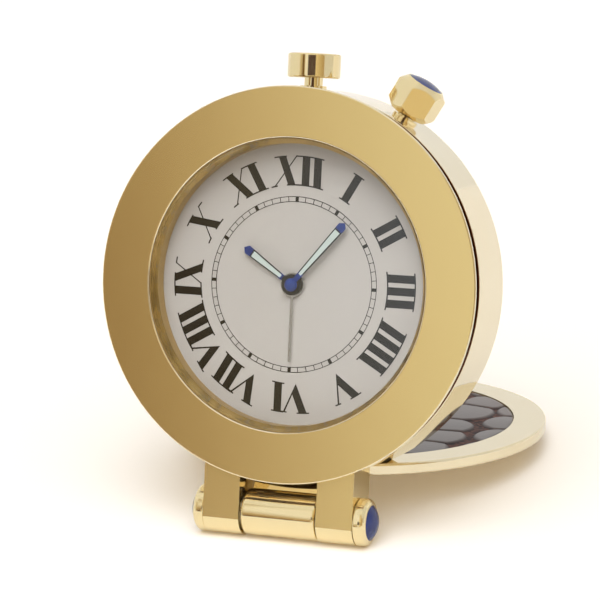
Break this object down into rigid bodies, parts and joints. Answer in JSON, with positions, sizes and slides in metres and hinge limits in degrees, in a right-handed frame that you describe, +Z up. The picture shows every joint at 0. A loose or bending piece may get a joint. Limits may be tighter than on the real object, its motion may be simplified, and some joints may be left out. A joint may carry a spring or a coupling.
{
  "type": "travel alarm clock",
  "caption": "Round gold travel alarm clock that leans back on a hinged leather-lined cover disc, with an alarm button, a six-sided setting crown and roman numerals.",
  "frame": {"origin": "on the table, in the middle of the box around the standing clock", "axes": "+Z up, +Y towards the back of the clock, +X to the right as the dial is read"},
  "size_m": [0.07, 0.0807, 0.0828],
  "materials": {
    "polished_gold": "polished gold plate",
    "satin_gold": "satin gold plate",
    "crystal": "clear mineral crystal",
    "rubber": "matt",
    "dial_lacquer": "satin lacquer",
    "black_ink": "printed",
    "steel": "satin",
    "blue_steel": "blued, glossy",
    "lume": "pale luminous paste",
    "cabochon": "domed and polished blue",
    "leather": "embossed with scales",
    "movement_brass": "plain",
    "movement_plastic": "moulded",
    "magnet": "ground",
    "copper_wire": "wound enamelled wire",
    "board": "solder mask",
    "chip": "moulded"
  },
  "bodies": {
    "case": {"case_band": "polished_gold", "bezel": "satin_gold", "crystal": "crystal", "crystal_gasket": "rubber", "flange_ring": "polished_gold", "dial": "dial_lacquer", "dial_print": "black_ink", "case_back": "polished_gold", "case_back_screws": "steel", "battery_hatch": "polished_gold", "hatch_gasket": "rubber", "hinge_lug_left": "polished_gold", "hinge_lug_right": "polished_gold", "lug_screws": "steel", "hinge_pin": "steel", "hinge_washers": "steel", "pin_caps": "polished_gold", "cap_cabochons": "cabochon", "button_tube": "polished_gold", "button_spring": "steel", "alarm_contact": "movement_brass", "crown_tube": "polished_gold", "movement_ring": "movement_plastic", "main_plate": "movement_brass", "train_bridge": "movement_brass", "movement_screws": "steel", "stator": "steel", "coil": "copper_wire", "circuit_board": "board", "driver_chip": "chip", "quartz_can": "steel", "battery": "steel", "battery_cup": "movement_plastic", "battery_contact": "movement_brass", "buzzer": "movement_brass"},
    "stand": {"stand_knuckle": "polished_gold", "stand_disc": "polished_gold", "stand_screws": "steel", "leather_inlay": "leather"},
    "button": {"alarm_button": "polished_gold", "button_clip": "steel"},
    "setting": {"setting_yoke": "steel"},
    "crown": {"crown": "polished_gold", "crown_cabochon": "cabochon", "crown_stem": "steel", "crown_gasket": "rubber", "clutch_pinion": "movement_brass"},
    "minute": {"centre_wheel": "movement_brass", "minute_hand": "blue_steel", "minute_lume": "lume", "minute_hand_cap": "blue_steel"},
    "hour": {"hour_wheel": "movement_brass", "hour_hand": "blue_steel", "hour_lume": "lume"},
    "alarm": {"alarm_wheel": "movement_brass", "alarm_hand": "steel"},
    "alarm_setting": {"alarm_setting_wheel": "movement_brass"},
    "motion": {"minute_wheel": "movement_brass"},
    "intermediate": {"intermediate_wheel": "movement_brass"},
    "rotor": {"rotor": "magnet"}
  },
  "joints": [
    {"name": "stand_hinge", "type": "hinge", "parent": "case", "child": "stand", "pos_m": [0, -0.03608, 0.0043], "axis": [-1, 0, 0], "range_deg": [0, 279.15]},
    {"name": "button_press", "type": "slide", "parent": "case", "child": "button", "axis": [0, -0.2906, -0.9569], "range_m": [0, 0.0012], "stiffness_N_per_m": 600},
    {"name": "crown_pull", "type": "slide", "parent": "case", "child": "setting", "axis": [0.5, 0.2516, 0.8287], "range_m": [0, 0.001]},
    {"name": "crown_turn", "type": "hinge", "parent": "setting", "child": "crown", "pos_m": [0.015, -0.01268, 0.06725], "axis": [0.5, 0.2516, 0.8287], "continuous": true},
    {"name": "minute_turn", "type": "hinge", "parent": "case", "child": "minute", "pos_m": [0, -0.022, 0.04292], "axis": [0, 0.9569, -0.2906], "continuous": true},
    {"name": "hour_turn", "type": "hinge", "parent": "case", "child": "hour", "pos_m": [0, -0.022, 0.04292], "axis": [0, 0.9569, -0.2906], "continuous": true},
    {"name": "minute_wheel_turn", "type": "hinge", "parent": "case", "child": "motion", "pos_m": [-0.00424, -0.02323, 0.03887], "axis": [0, 0.9569, -0.2906], "continuous": true},
    {"name": "intermediate_turn", "type": "hinge", "parent": "case", "child": "intermediate", "pos_m": [-0.0052, -0.02112, 0.0458], "axis": [0, 0.9569, -0.2906], "continuous": true},
    {"name": "rotor_turn", "type": "hinge", "parent": "case", "child": "rotor", "pos_m": [-0.0108, -0.02112, 0.0458], "axis": [0, 0.9569, -0.2906], "continuous": true},
    {"name": "alarm_turn", "type": "hinge", "parent": "case", "child": "alarm", "pos_m": [0, -0.022, 0.04292], "axis": [0, 0.9569, -0.2906], "continuous": true},
    {"name": "alarm_setting_turn", "type": "hinge", "parent": "case", "child": "alarm_setting", "pos_m": [0.0045, -0.01973, 0.05038], "axis": [0, 0.9569, -0.2906], "continuous": true}
  ],
  "couplings": [
    {"joint": "hour_turn", "follows": "minute_turn", "ratio": 0.083333},
    {"joint": "minute_wheel_turn", "follows": "minute_turn", "ratio": -0.33333},
    {"joint": "intermediate_turn", "follows": "minute_turn", "ratio": -5},
    {"joint": "rotor_turn", "follows": "minute_turn", "ratio": 30},
    {"joint": "alarm_setting_turn", "follows": "alarm_turn", "ratio": -2}
  ]
}
